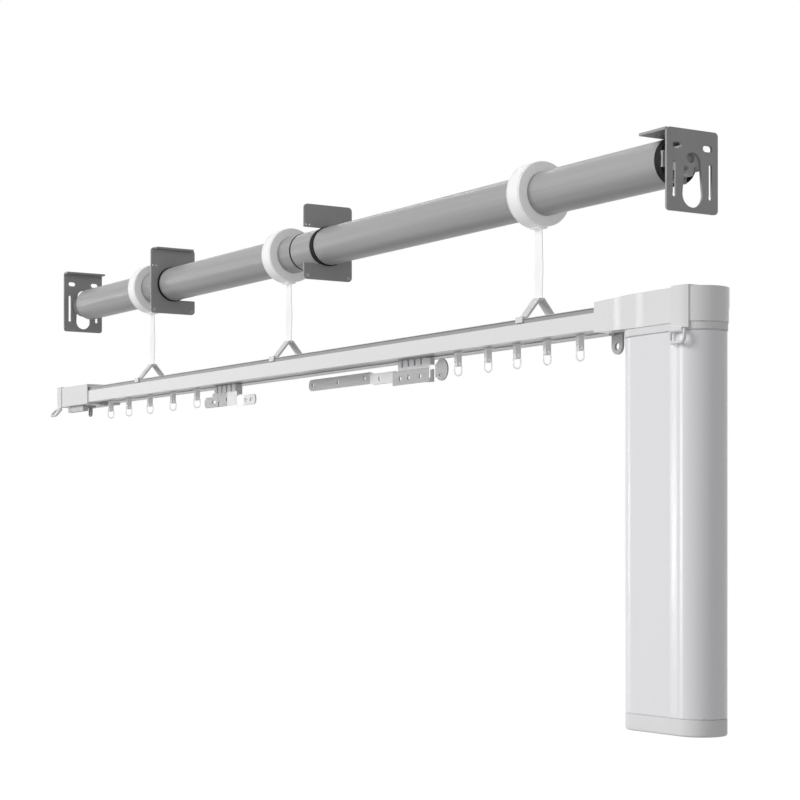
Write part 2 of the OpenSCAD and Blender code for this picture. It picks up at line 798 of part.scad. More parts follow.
module clip_lever_idler() {
  x0 = box_x0 + 2;
  x1 = x0 + 15;
  color(white) translate([0, -sleeve_w / 2 - 1.6, sleeve_bottom_z - 3.5]) rotate([-42, 0, 0])
    lever_loop(x0 - lever_arm_w - 0.4, x1 + lever_arm_w + 0.4, 13);
}

// The stop in the runner slot, and the eye tabs at both ends.
module end_stops() {
  color(mid_grey) {
    bar(stop_x_idler - 8, stop_x_idler, -8, 8, cavity_bottom_z, cavity_bottom_z + 7);
    bar(stop_x_idler - 8, stop_x_idler, -4, 4, rail_bottom_z - 1, cavity_bottom_z + 1);
    bar(stop_x_idler - 12, stop_x_idler, -5, 5, rail_bottom_z - 4.5, rail_bottom_z);
    bar(stop_x_drive, stop_x_drive + 8, -8, 8, cavity_bottom_z, cavity_bottom_z + 7);
    difference() {
      union() {
        bar(stop_x_drive, stop_x_drive + 8, -4, 4, rail_bottom_z - 4, cavity_bottom_z + 1);
        bar(eye_x - eye_w / 2, eye_x + eye_w / 2, -1.2, 1.2, eye_z, rail_bottom_z - 2.6);
        ycyl(-1.2, 1.2, eye_w, eye_x, eye_z);
      }
      ycyl(-5, 5, eye_hole_d, eye_x, eye_z - 0.7);
    }
    difference() {
      union() {
        bar(eye_tab_x - 8, eye_tab_x + 8, -5, 5, sleeve_bottom_z - 2.5, sleeve_bottom_z);
        bar(eye_tab_x - 5, eye_tab_x + 5, -1.2, 1.2, sleeve_bottom_z - 11, sleeve_bottom_z - 2.5);
        ycyl(-1.2, 1.2, 10, eye_tab_x, sleeve_bottom_z - 11);
      }
      ycyl(-2, 2, 6.4, eye_tab_x, sleeve_bottom_z - 11);
    }
  }
}

module drive_pulley() {
  color(light_grey) {
    zcyl(belt_z - 3.5, belt_z + 3.5, 2 * (belt_r - journal_gap), drive_x, 0);
    zcyl(belt_z + 3.5, belt_z + 6, 14, drive_x, 0);
    zcyl(lock_seam_z - 30, belt_z, 8, drive_x, 0);
    zcyl(lock_seam_z + 2, belt_z - 3.5, 18, drive_x, 0);
  }
}

module idler_pulley() {
  color(light_grey) difference() {
    zcyl(belt_z - 3.5, belt_z + 3.5, 2 * (belt_r - journal_gap), idler_x, 0);
    zcyl(belt_z - 5, belt_z + 5, 6 + 2 * journal_gap, idler_x, 0);
  }
}

// A master carrier: slider in the rail, belt clamp on one strand and the comb block below.
// side is -1 for the front belt strand and 1 for the rear one.
module carrier(x0, x1, side, comb_low) {
  low = cavity_bottom_z + 0.3;
  slots = 4;
  pitch = (x1 - x0) / (slots + 0.6);
  difference() {
    union() {
      bar(x0 + 4, x1 - 4, -8, 8, low, cavity_top_z - 1);
      bar(x0 + 4, x1 - 4, -3.6, 3.6, rail_bottom_z - 1, low + 1);
      bar(x0, x1, -comb_t / 2, comb_t / 2, comb_low, rail_bottom_z - 0.6);
      bar(x0 + 12, x1 - 12, side > 0 ? 0 : -18, side > 0 ? 18 : 0, low, belt_z + 2);
    }
    bar(x0, x1, side * 14 - 1.2, side * 14 + 1.2, belt_z - belt_h / 2 - 0.4, belt_z + 10);
    for (i = [0:slots - 1]) {
      x = x0 + pitch * (i + 0.55);
      bar(x, x + 3.2, -comb_t, -comb_t / 2 + 3, comb_low + 4, rail_bottom_z);
    }
  }
}

module carrier_drive() {
  color(light_grey) {
    carrier(comb_r[0], comb_r[1], -1, comb_low_z[0]);
    bar(comb_r[1] - 4, comb_r[1] + 7, arm_back_y, 0, arm_low_z, rail_bottom_z - 1.3);
  }
}

// The drive side's steel arm: front plate, curled end, jog and the long overlap bar at the back.
// X is measured from the comb block's idler end.
module carrier_drive_arm() {
  comb_len = comb_r[1] - comb_r[0];
  color(mid_grey) translate([comb_r[0], 0, 0]) {
    difference() {
      union() {
        bar(-9.1, comb_len + 6.9, arm_front_y, arm_back_y, arm_low_z, arm_top_z);
        bar(jog_x[0], jog_x[1], -arm_t / 2, arm_t / 2, jog_z[0], jog_z[1]);
        bar(over_x[0], over_x[1], over_y, over_y + arm_t, over_z[0], over_z[1]);
        ycyl(over_y, over_y + arm_t, over_z[1] - over_z[0], over_x[0], over_mid_z);
      }
      for (x = drive_hole_x) arm_hole(arm_hole_d + 0.6, x, arm_low_z + drive_hole_h);
      ycyl(-3, 3, arm_hole_d, jog_x[0] + 12.7, (jog_z[0] + jog_z[1]) / 2);
      for (x = [over_x[0] + 2.9, over_x[0] + 62.9, over_x[1] - 12.4])
        ycyl(over_y - 1, over_y + 3, arm_hole_d, x, over_mid_z);
    }
    hull() {
      bar(jog_x[1] - eps, jog_x[1], -arm_t / 2, arm_t / 2, jog_z[0], jog_z[1] - 3.5);
      bar(-9.1, -9.1 + eps, arm_front_y, arm_back_y, arm_low_z + 2, arm_top_z - 2);
    }
    hull() {
      bar(over_x[1], over_x[1] + eps, over_y, over_y + arm_t, over_z[0] + 0.3, over_z[1] - 0.3);
      bar(jog_x[0] - eps, jog_x[0], -arm_t / 2, arm_t / 2, jog_z[0] + 0.3, jog_z[1] - 0.3);
    }
    difference() {
      union() {
        ycyl(arm_front_y, arm_back_y, curl_d, comb_len + curl_x, curl_z);
        bar(comb_len + 6.9, comb_len + 20.9, arm_front_y, arm_back_y, arm_low_z + 4, arm_top_z + 2.6);
      }
      arm_cut(comb_len + notch_x[0], comb_len + notch_x[1], arm_low_z - 2, arm_low_z + notch_h);
      arm_hole(3, comb_len + curl_x - 2.7, curl_z - 5.9);
    }
  }
}

module carrier_idler() {
  color(light_grey) carrier(comb_l[0], comb_l[1], 1, comb_low_z[1]);
}

// The idler side's steel arm. X is measured from the comb block's idler end.
module carrier_idler_arm() {
  comb_len = comb_l[1] - comb_l[0];
  end_low_z = arm_low_z - 2;
  end_top_z = arm_top_z - 4.1;
  end_mid_z = (end_low_z + end_top_z) / 2;
  color(mid_grey) translate([comb_l[0], 0, 0]) difference() {
    union() {
      bar(tail_x, comb_len + 7, arm_front_y, arm_back_y, arm_low_z, arm_top_z + 2.6);
      ycyl(arm_front_y, arm_back_y, 14, tail_x, arm_low_z + 7);
      bar(comb_len + 7, comb_len + reach_idler, arm_front_y, arm_back_y, end_low_z, end_top_z);
      ycyl(arm_front_y, arm_back_y, end_top_z - end_low_z, comb_len + reach_idler, end_mid_z);
    }
    arm_cut(tail_x - 12, tail_step_x, arm_top_z - tail_step, arm_top_z + 5);
    slot_arm(idler_slot_x, arm_low_z + 7, 6);
    arm_cut(14.2, 16.2, arm_low_z - 1, arm_low_z + 6);
    arm_hole(arm_hole_d, idler_hole_x, arm_low_z + 8);
    for (x = idler_end_hole_x) arm_hole(arm_hole_d, comb_len + x, end_mid_z + 0.05);
  }
}

// A short horizontal slot through the front arm.
module slot_arm(x, z, run) {
  arm_cut(x - run / 2, x + run / 2, z - 2, z + 2);
  arm_hole(4, x - run / 2, z);
  arm_hole(4, x + run / 2, z);
}

// A round hole through the front plates of the arms.
module arm_hole(d, x, z) {
  ycyl(arm_front_y - 1, arm_back_y + 1, d, x, z);
}

// A square cut through the front plates of the arms.
module arm_cut(x0, x1, z0, z1) {
  bar(x0, x1, arm_front_y - 1, arm_back_y + 1, z0, z1);
}

// A glider: slider in the rail, neck through the slot and a forked body for the ring's pin.
module glider(x) {
  half = glider_len / 2;
  color(mid_grey) difference() {
    union() {
      bar(x - half, x + half, -7.5, 7.5, cavity_bottom_z + 0.3, cavity_bottom_z + 5);
      bar(x - fork_x, x + fork_x, -3, 3, rail_bottom_z - 2, cavity_bottom_z + 1);
      bar(x - fork_x, x + fork_x, -fork_w / 2, fork_w / 2, ring_pin_z, rail_bottom_z - 0.7);
      xcyl(x - fork_x, x + fork_x, fork_w, 0, ring_pin_z);
    }
    bar(x - ring_t / 2 - 0.35, x + ring_t / 2 + 0.35, -6, 6, ring_pin_z - 6, ring_pin_z + 3.6);
    xcyl(x - 5, x + 5, pin_d + 2 * journal_gap, 0, ring_pin_z);
  }
}

// The oval ring with its pin along the track, so that the ring lies across the track.
module glider_ring(x) {
  r = ring_w / 2;
  top_z = ring_pin_z + r - 3.2;
  mid_z0 = top_z - r;
  mid_z1 = top_z - ring_h + r;
  color(white) translate([x, 0, 0]) {
    difference() {
      union() {
        xcyl(-ring_t / 2, ring_t / 2, ring_w, 0, mid_z0);
        xcyl(-ring_t / 2, ring_t / 2, ring_w, 0, mid_z1);
        bar(-ring_t / 2, ring_t / 2, -r, r, mid_z1, mid_z0);
      }
      xcyl(-ring_t, ring_t, ring_w - 3.2, 0, mid_z0);
      xcyl(-ring_t, ring_t, ring_w - 3.2, 0, mid_z1);
      bar(-ring_t, ring_t, -r + 1.6, r - 1.6, mid_z1, mid_z0);
    }
    xcyl(-ring_t / 2, ring_t / 2, 5.4, 0, ring_pin_z);
    bar(-ring_t / 2, ring_t / 2, -2, 2, ring_pin_z, top_z - 0.6);
    xcyl(-fork_x - 0.3, fork_x + 0.3, pin_d, 0, ring_pin_z);
  }
}

end_bracket_drive();
end_bracket_idler();
mid_bracket_center();
mid_bracket_left();
bearings();
motor_head();
motor_star();
tubular_motor();
idler_pin();
strap_guides();
tube_drive();
tube_middle();
tube_idler();
tube_couplers();
seam_rings();
drive_adapter();
idler_plug();
strap_spools();
lift_straps();
strap_hangers();
track_rail();
drive_belt();
pulley_box();
pulley_box_base();
gearbox_head();
lock_ring();
motor_housing();
motor_bottom_cap();
motor_core();
battery_pack();
clip_bands();
end_stops();
drive_pulley();
idler_pulley();
clip_lever_drive();
clip_lever_idler();
carrier_drive();
carrier_drive_arm();
carrier_idler();
carrier_idler_arm();
glider(glider_all_drive[0]);  // glider_d1
glider(glider_all_drive[1]);  // glider_d2
glider(glider_all_drive[2]);  // glider_d3
glider(glider_all_drive[3]);  // glider_d4
glider(glider_all_drive[4]);  // glider_d5
glider(glider_all_idler[0]);  // glider_i1
glider(glider_all_idler[1]);  // glider_i2
glider(glider_all_idler[2]);  // glider_i3
glider(glider_all_idler[3]);  // glider_i4
glider(glider_all_idler[4]);  // glider_i5
glider_ring(glider_all_drive[0]);  // ring_d1
glider_ring(glider_all_drive[1]);  // ring_d2
glider_ring(glider_all_drive[2]);  // ring_d3
glider_ring(glider_all_drive[3]);  // ring_d4
glider_ring(glider_all_drive[4]);  // ring_d5
glider_ring(glider_all_idler[0]);  // ring_i1
glider_ring(glider_all_idler[1]);  // ring_i2
glider_ring(glider_all_idler[2]);  // ring_i3
glider_ring(glider_all_idler[3]);  // ring_i4
glider_ring(glider_all_idler[4]);  // ring_i5
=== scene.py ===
"""Looks for the motorized curtain lift system: finishes, finer pieces, light and camera.

Metres throughout. Z is up, X runs along the tube and the track, and -Y is the front.
The ceiling plane is Z = 0, and the lift tube's axis is at Z = AXIS_Z.
"""

import json
import math

import bmesh
import bpy
from mathutils import Matrix, Vector


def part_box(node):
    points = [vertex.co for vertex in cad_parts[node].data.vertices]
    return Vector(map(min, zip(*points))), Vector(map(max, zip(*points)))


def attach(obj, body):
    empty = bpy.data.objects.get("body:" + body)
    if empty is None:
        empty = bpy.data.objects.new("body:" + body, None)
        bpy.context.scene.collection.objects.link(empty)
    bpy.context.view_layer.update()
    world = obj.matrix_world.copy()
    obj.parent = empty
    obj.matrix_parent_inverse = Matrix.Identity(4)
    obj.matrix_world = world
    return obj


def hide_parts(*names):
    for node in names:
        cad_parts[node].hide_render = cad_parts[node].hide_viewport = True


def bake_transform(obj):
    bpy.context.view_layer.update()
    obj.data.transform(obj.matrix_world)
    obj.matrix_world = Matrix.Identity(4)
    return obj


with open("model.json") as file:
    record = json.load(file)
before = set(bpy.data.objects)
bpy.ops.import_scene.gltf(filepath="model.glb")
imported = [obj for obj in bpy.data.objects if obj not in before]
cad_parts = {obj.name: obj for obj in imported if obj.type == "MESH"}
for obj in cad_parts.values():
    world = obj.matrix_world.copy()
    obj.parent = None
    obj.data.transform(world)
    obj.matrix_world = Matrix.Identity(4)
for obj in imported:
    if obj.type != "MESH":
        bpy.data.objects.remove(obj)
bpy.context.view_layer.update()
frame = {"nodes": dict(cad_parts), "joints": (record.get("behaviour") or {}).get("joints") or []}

MM = 0.001
X, Y, Z = 0, 1, 2


# Places, read from the frame


def low_of(node, axis):
    """The lowest place of a node along an axis."""
    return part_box(node)[0][axis]


def high_of(node, axis):
    """The highest place of a node along an axis."""
    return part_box(node)[1][axis]


def middle_of(node, axis):
    """The middle of a node's box along an axis."""
    return (low_of(node, axis) + high_of(node, axis)) / 2


AXIS_Z = middle_of("tube_drive", Z)
RAIL_TOP_Z = high_of("track_rail", Z)
RAIL_BOTTOM_Z = low_of("track_rail", Z)
RAIL_BAND_H = 5.1 * MM
RAIL_BAND_Z = RAIL_TOP_Z - RAIL_BAND_H

STRAP_W = 12 * MM
STRAP_TOP_Z = high_of("lift_straps", Z)
HANGER_TOP_Z = low_of("lift_straps", Z)
MIDDLE_SPOOL_X = -91.2 * MM
SPOOL_X = (
    high_of("lift_straps", X) - STRAP_W / 2,
    MIDDLE_SPOOL_X,
    low_of("lift_straps", X) + STRAP_W / 2,
)

MOTOR_R = high_of("motor_bottom_cap", Y)
MOTOR_X0 = low_of("motor_bottom_cap", X) + MOTOR_R
MOTOR_X1 = high_of("motor_bottom_cap", X) - MOTOR_R
HEAD_SEAM_Z = high_of("lock_ring", Z)
LOCK_SEAM_Z = low_of("lock_ring", Z)
CAP_SEAM_Z = low_of("motor_housing", Z)
CAP_BOTTOM_Z = low_of("motor_bottom_cap", Z)

# The drive side's five gliders and the idler side's five, and where the joints' axes lie.
GLIDERS = [side + str(number) for side in "di" for number in range(1, 6)]
PIVOTS = {joint["name"]: joint["pos_m"] for joint in frame["joints"] if "pos_m" in joint}


# Finishes


def grey(level, blue=0.0):
    """A grey, with a little more blue if given."""
    return (level, level, level + blue)


def math_node(tree, operation, first, second):
    """A math node on two sockets or numbers. Gives its output."""
    node = tree.nodes.new("ShaderNodeMath")
    node.operation = operation
    for socket, value in zip(node.inputs, (first, second)):
        if isinstance(value, bpy.types.NodeSocket):
            tree.links.new(value, socket)
        else:
            socket.default_value = value
    return node.outputs["Value"]


def step_node(tree, value, start, end, first=0.0, last=1.0, blend="LINEAR"):
    """Runs from the first to the last number while the value runs from start to end."""
    node = tree.nodes.new("ShaderNodeMapRange")
    node.interpolation_type = blend
    node.inputs["From Min"].default_value = start
    node.inputs["From Max"].default_value = end
    node.inputs["To Min"].default_value = first
    node.inputs["To Max"].default_value = last
    tree.links.new(value, node.inputs["Value"])
    return node.outputs["Result"]


def noise_node(tree, place, scale, detail):
    """Noise with the given number of features per metre. Gives its value."""
    node = tree.nodes.new("ShaderNodeTexNoise")
    node.inputs["Scale"].default_value = scale
    node.inputs["Detail"].default_value = detail
    tree.links.new(place, node.inputs["Vector"])
    return node.outputs["Fac"]


def relief_node(tree, height, strength, depth, normal=None):
    """A bump whose height of 1 stands for a depth in metres, on top of another normal if given."""
    node = tree.nodes.new("ShaderNodeBump")
    node.inputs["Strength"].default_value = strength
    node.inputs["Distance"].default_value = depth
    tree.links.new(height, node.inputs["Height"])
    if normal is not None:
        tree.links.new(normal, node.inputs["Normal"])
    return node.outputs["Normal"]


def own_place(tree):
    """The sockets of a point's X, Y and Z, in the piece's own frame."""
    place = tree.nodes.new("ShaderNodeTexCoord")
    split = tree.nodes.new("ShaderNodeSeparateXYZ")
    tree.links.new(place.outputs["Object"], split.inputs["Vector"])
    return split.outputs


def surface(mat):
    """The shader node of a finish."""
    return mat.node_tree.nodes["Principled BSDF"]


def material(name, color, rough=0.45, metallic=0.0, spec=0.5, variation=0.05, scale=60.0,
             bump=0.02, bump_scale=900.0, stretch=(1, 1, 1), edge=0.0004, transmission=0.0):
    """A finish with mottled colour, varied roughness, fine bump and softly rounded edges.

    scale and bump_scale are features per metre, and edge is the rounding radius.
    """
    mat = bpy.data.materials.new(name)
    mat.use_nodes = True
    tree = mat.node_tree
    shader = surface(mat)
    shader.inputs["Metallic"].default_value = metallic
    shader.inputs["Specular IOR Level"].default_value = spec
    shader.inputs["Transmission Weight"].default_value = transmission

    place = tree.nodes.new("ShaderNodeTexCoord")
    mapping = tree.nodes.new("ShaderNodeMapping")
    mapping.inputs["Scale"].default_value = stretch
    tree.links.new(place.outputs["Object"], mapping.inputs["Vector"])
    broad = noise_node(tree, mapping.outputs["Vector"], scale, 4.0)
    fine = noise_node(tree, mapping.outputs["Vector"], bump_scale, 3.0)

    ramp = tree.nodes.new("ShaderNodeValToRGB")
    ends = ramp.color_ramp.elements
    for end, position, share in ((ends[0], 0.3, 1 - variation), (ends[1], 0.7, 1 + variation)):
        end.position = position
        end.color = (*[min(1.0, c * share) for c in color], 1)
    tree.links.new(broad, ramp.inputs["Fac"])
    tree.links.new(ramp.outputs["Color"], shader.inputs["Base Color"])

    spread = 0.06
    rough_map = step_node(tree, broad, 0.0, 1.0, max(0.03, rough - spread), min(1.0, rough + spread))
    tree.links.new(rough_map, shader.inputs["Roughness"])

    rounded = None
    if edge > 0:
        soft = tree.nodes.new("ShaderNodeBevel")
        soft.samples = 4
        soft.inputs["Radius"].default_value = edge
        rounded = soft.outputs["Normal"]
    tree.links.new(relief_node(tree, fine, bump, 1 * MM, rounded), shader.inputs["Normal"])
    return mat


def repaint(mat, axis, low, high, color, feather=0.3 * MM, below=None):
    """Repaints a finish between two places on one axis, only below a height if given."""
    tree = mat.node_tree
    place = own_place(tree)
    rise = step_node(tree, place[axis], low - feather, low + feather)
    fall = step_node(tree, place[axis], high - feather, high + feather, 1.0, 0.0)
    share = math_node(tree, "MULTIPLY", rise, fall)
    if below is not None:
        under = math_node(tree, "LESS_THAN", place[Z], below)
        share = math_node(tree, "MULTIPLY", share, under)
    base = surface(mat).inputs["Base Color"]
    mix = tree.nodes.new("ShaderNodeMix")
    mix.data_type = "RGBA"
    tree.links.new(share, mix.inputs["Factor"])
    tree.links.new(base.links[0].from_socket, mix.inputs["A"])
    mix.inputs["B"].default_value = (*color, 1)
    tree.links.new(mix.outputs["Result"], base)


def add_flares(mat, spans, rise):
    """Gives a finish shallow moulded flares along X, each a smooth step of the given rise."""
    tree = mat.node_tree
    along = own_place(tree)[X]
    steps = [step_node(tree, along, low, high, blend="SMOOTHSTEP") for low, high in spans]
    height = steps[0]
    for step in steps[1:]:
        height = math_node(tree, "ADD", height, step)
    normal = surface(mat).inputs["Normal"]
    tree.links.new(relief_node(tree, height, 1.0, rise, normal.links[0].from_socket), normal)


def webbing_material():
    """White woven webbing: a diagonal rib pattern on the strap's own length and width."""
    mat = material("webbing", grey(0.93), rough=0.85, spec=0.2, variation=0.03, edge=0.0)
    tree = mat.node_tree
    shader = surface(mat)
    shader.inputs["Sheen Weight"].default_value = 0.25
    place = tree.nodes.new("ShaderNodeTexCoord")
    turn = tree.nodes.new("ShaderNodeMapping")
    turn.inputs["Rotation"].default_value = (0, 0, math.radians(38))
    tree.links.new(place.outputs["UV"], turn.inputs["Vector"])
    ribs = tree.nodes.new("ShaderNodeTexWave")
    ribs.inputs["Scale"].default_value = 180.0
    ribs.inputs["Distortion"].default_value = 0.4
    tree.links.new(turn.outputs["Vector"], ribs.inputs["Vector"])
    relief = relief_node(tree, ribs.outputs["Fac"], 0.35, 0.4 * MM)
    tree.links.new(relief, shader.inputs["Normal"])
    return mat


STEEL = material("bracket_coat", grey(0.34, 0.005), rough=0.42, variation=0.05, scale=35,
                 bump=0.05, bump_scale=1600, edge=0.0006)
# The tube's colour varies in long random streaks along X: painted reflections, as a brushed tube
# would show.
TUBE = material("tube_coat", grey(0.40), rough=0.36, spec=0.25, variation=0.10, scale=110,
                bump=0.06, bump_scale=420, stretch=(0.02, 1, 1), edge=0.0003)
BLACK = material("black_plastic", grey(0.012, 0.001), rough=0.65, spec=0.15, variation=0.15,
                 bump=0.06)
STAR = material("star_grey", grey(0.42, 0.01), rough=0.5, spec=0.3, variation=0.05, bump=0.04)
COMB = material("comb_plastic", grey(0.78, 0.01), variation=0.02, bump=0.03)
LIGHT = material("light_plastic", grey(0.55, 0.01), rough=0.42, variation=0.04, bump=0.04)
WHITE = material("white_plastic", grey(0.81, 0.01), rough=0.38, spec=0.10, variation=0.015,
                 scale=30, bump=0.006, bump_scale=1400)
HEAD = material("head_coat", grey(0.81, 0.01), rough=0.26, variation=0.012, scale=20,
                bump=0.012, bump_scale=1600)
RING_WHITE = material("guide_white", grey(0.90), variation=0.01)
RAIL = material("rail_coat", grey(0.86, 0.01), rough=0.32, spec=0.10, variation=0.012, scale=18,
                bump_scale=1500, stretch=(0.05, 1, 1))
HOUSING = material("housing_coat", grey(0.82, 0.02), rough=0.26, variation=0.012, scale=20,
                   bump=0.012, bump_scale=1800, stretch=(1, 1, 0.1))
ARM_IDLER, ARM_DRIVE = [
    material(label, grey(0.34, 0.005), rough=0.38, metallic=0.25, variation=0.06, scale=90,
             bump=0.08, bump_scale=500, stretch=(0.08, 1, 1), edge=0.0003)
    for label in ("arm_steel_idler", "arm_steel_drive")
]
HANGER = material("hanger_coat", grey(0.76, 0.01), rough=0.4, variation=0.04, scale=80,
                  bump=0.05)
GLIDER = material("glider_plastic", grey(0.90, 0.01), bump=0.03)
BASE = material("base_plastic", grey(0.46, 0.01), rough=0.5, variation=0.06, bump=0.04)
STRIP = material("strip_plastic", grey(0.62, 0.01), spec=0.15, variation=0.04, bump=0.03)
CLEAR = material("clear_plastic", (0.90, 0.91, 0.92), rough=0.20, variation=0.01, bump=0.0,
                 edge=0.0, transmission=0.30)
BELT = material("belt_rubber", grey(0.03), rough=0.7, variation=0.2, bump=0.2)
METAL = material("zinc_plate", grey(0.62, 0.01), rough=0.3, metallic=0.9, scale=200, bump=0.03)
WEBBING = webbing_material()

# A weak glow is painted light on the milky plastic, the clear loops and the webbing, standing in
# for the light that they let through.
for finish, glow in ((RING_WHITE, 0.12), (WEBBING, 0.16), (GLIDER, 0.08), (CLEAR, 0.16)):
    surface(finish).inputs["Emission Color"].default_value = (1, 1, 1, 1)
    surface(finish).inputs["Emission Strength"].default_value = glow

# Flares along X in the motor housing's front and in the gearbox head's.
HOUSING_FLARES = ((MOTOR_X1 - 15 * MM, MOTOR_X1 + 1.5 * MM),)
HEAD_FLARES = (
    (MOTOR_X0 - 27 * MM, MOTOR_X0 - 12 * MM),
    (MOTOR_X0 + 6 * MM, MOTOR_X0 + 22 * MM),
)
add_flares(HOUSING, HOUSING_FLARES, rise=1.6 * MM)
add_flares(HEAD, HEAD_FLARES, rise=1.4 * MM)

# The rail's recessed top band in two greys, partly its own darker colour and partly painted shade
# in the recess, and two strips of painted shade along its underside.
BAND_SPLIT_Z = RAIL_BAND_Z + 3.4 * MM
TONE_OVERLAP = 0.1 * MM
RAIL_UNDERSIDE_SHADE = ((-0.0160, -0.0045, 0.46), (0.0150, 0.0205, 0.56))
repaint(RAIL, Z, RAIL_BAND_Z - 0.2 * MM, BAND_SPLIT_Z + TONE_OVERLAP, grey(0.40, 0.01))
repaint(RAIL, Z, BAND_SPLIT_Z - TONE_OVERLAP, RAIL_TOP_Z - 0.4 * MM, grey(0.20, 0.005))
# Painted shade: two darker strips on the rail's underside.
for low, high, tone in RAIL_UNDERSIDE_SHADE:
    repaint(RAIL, Y, low, high, grey(tone), feather=0.8 * MM, below=RAIL_BOTTOM_Z + 0.3 * MM)

# Tones along the arms in X: the mid greys are the plates' own tones, and the near-white bands
# are painted highlights where the strip bends from one plate to the next.
ARM_TONES_AND_HIGHLIGHTS = (
    (ARM_DRIVE, 0.1100, 0.1570, grey(0.60)),
    (ARM_DRIVE, 0.0908, 0.1100, grey(0.88)),
    (ARM_DRIVE, 0.1570, 0.1603, grey(0.88)),
    (ARM_DRIVE, 0.2360, 0.2480, grey(0.88)),
    (ARM_IDLER, -0.2440, -0.2156, grey(0.62)),
    (ARM_IDLER, -0.2156, -0.1990, grey(0.88)),
    (ARM_IDLER, -0.1990, -0.1600, grey(0.60, 0.01)),
)
for arm, low, high, tone in ARM_TONES_AND_HIGHLIGHTS:
    repaint(arm, X, low, high, tone)

NODE_FINISH = {
    "end_bracket_drive": STEEL, "end_bracket_idler": STEEL,
    "mid_bracket_center": STEEL, "mid_bracket_left": STEEL,
    "bearings": BLACK, "motor_head": BLACK, "motor_star": STAR, "tubular_motor": LIGHT,
    "idler_pin": LIGHT, "tube_drive": TUBE, "tube_middle": TUBE, "tube_idler": TUBE,
    "tube_couplers": TUBE, "seam_rings": BLACK, "drive_adapter": LIGHT, "idler_plug": TUBE,
    "strap_hangers": HANGER, "track_rail": RAIL, "drive_belt": BELT, "pulley_box": WHITE,
    "pulley_box_base": STRIP, "motor_housing": HOUSING, "motor_core": METAL,
    "battery_pack": BASE, "clip_bands": WHITE, "end_stops": BASE,
    "drive_pulley": LIGHT, "idler_pulley": LIGHT, "carrier_drive": COMB,
    "carrier_drive_arm": ARM_DRIVE, "carrier_idler": COMB, "carrier_idler_arm": ARM_IDLER,
    "strap_spools": RING_WHITE, "strap_guides": RING_WHITE, "lift_straps": WEBBING,
    "gearbox_head": HEAD, "lock_ring": WHITE, "motor_bottom_cap": WHITE,
    "clip_lever_drive": WHITE, "clip_lever_idler": WHITE,
}
for key in GLIDERS:
    NODE_FINISH["glider_" + key] = GLIDER
    NODE_FINISH["ring_" + key] = CLEAR
for name, node in frame["nodes"].items():
    node.data.materials.clear()
    node.data.materials.append(NODE_FINISH[name])


# Mesh helpers


def add_object(name, data):
    """Puts new data into the scene as an object."""
    obj = bpy.data.objects.new(name, data)
    bpy.context.scene.collection.objects.link(obj)
    return obj


def mesh_from(name, bm):
    """Turns a bmesh into a mesh and frees it."""
    mesh = bpy.data.meshes.new(name)
    bm.to_mesh(mesh)
    bm.free()
    return mesh


def piece(name, bm, mat, body, smooth=40.0, replaces=()):
    """Turns a bmesh into a shown piece of a slot, which rides on a body if one is given.

    smooth is the angle in degrees up to which its faces shade as one.
    """
    bmesh.ops.recalc_face_normals(bm, faces=bm.faces)
    mesh = mesh_from(name, bm)
    for face in mesh.polygons:
        face.use_smooth = True
    mesh.set_sharp_from_angle(angle=math.radians(smooth))
    mesh.materials.append(mat)
    obj = add_object(name, mesh)
    if replaces:
        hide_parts(*replaces)
    if body:
        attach(obj, body)
    return obj


def bridge(bm, rings, around=False):
    """Skins closed point loops of one count, with capped ends, or joined to a ring if around."""
    loops = [[bm.verts.new(point) for point in ring] for ring in rings]
    count = len(loops[0])
    following = loops[1:] + loops[:1] if around else loops[1:]
    for here, there in zip(loops, following):
        for i in range(count):
            j = (i + 1) % count
            bm.faces.new((here[i], here[j], there[j], there[i]))
    if not around:
        bm.faces.new(list(reversed(loops[0])))
        bm.faces.new(loops[-1])


def round_angles(steps):
    """Evenly spaced angles once round."""
    return [2 * math.pi * k / steps for k in range(steps)]


def arc(center, radius, start, sweep, steps):
    """Points along an arc in a plane, both ends included."""
    angles = [start + sweep * k / steps for k in range(steps + 1)]
    return [(center[0] + radius * math.cos(a), center[1] + radius * math.sin(a)) for a in angles]


def mirrored(half):
    """An outline from its half on the positive side."""
    return [(-across, up) for across, up in reversed(half)] + list(half)


def lathe_x(bm, profile, x, z, steps=96):
    """Turns a closed (offset along X, radius) profile round an axis along X."""
    rings = [
        [(x + offset, radius * math.cos(a), z + radius * math.sin(a)) for offset, radius in profile]
        for a in round_angles(steps)
    ]
    bridge(bm, rings, around=True)


def round_ended(x0, x1, radius, z, steps=32):
    """A round-ended outline, long in X, at one height."""
    ends = arc((x1, 0), radius, -math.pi / 2, math.pi, steps)
    ends += arc((x0, 0), radius, math.pi / 2, math.pi, steps)
    return [(x, y, z) for x, y in ends]


def dome_screw(bm, center, radius, height):
    """A low domed screw head on a face that looks along +X."""
    turn = Vector((0, 0, 1)).rotation_difference(Vector((1, 0, 0))).to_matrix().to_4x4()
    place = Matrix.Translation(center) @ turn
    sweep = 1.25
    levels = 5
    rings = []
    for k in range(levels + 1):
        angle = sweep * k / levels
        ring_r = radius * math.cos(angle)
        ring_z = height * math.sin(angle) / math.sin(sweep)
        rings.append([
            place @ Vector((ring_r * math.cos(a), ring_r * math.sin(a), ring_z))
            for a in round_angles(24)
        ])
    bridge(bm, rings)


def wire(bm, path, radius, normal, sides, closed):
    """A round wire along a path of points that lies in the plane of the given normal."""
    count = len(path)
    rings = []
    for i, point in enumerate(path):
        if closed:
            ahead = Vector(path[(i + 1) % count]) - Vector(path[i - 1])
        else:
            ahead = Vector(path[min(i + 1, count - 1)]) - Vector(path[max(i - 1, 0)])
        ahead.normalize()
        side = ahead.cross(Vector(normal))
        side.normalize()
        up = side.cross(ahead)
        rings.append([
            Vector(point) + side * radius * math.cos(a) + up * radius * math.sin(a)
            for a in round_angles(sides)
        ])
    bridge(bm, rings, around=closed)


# Spools and straps


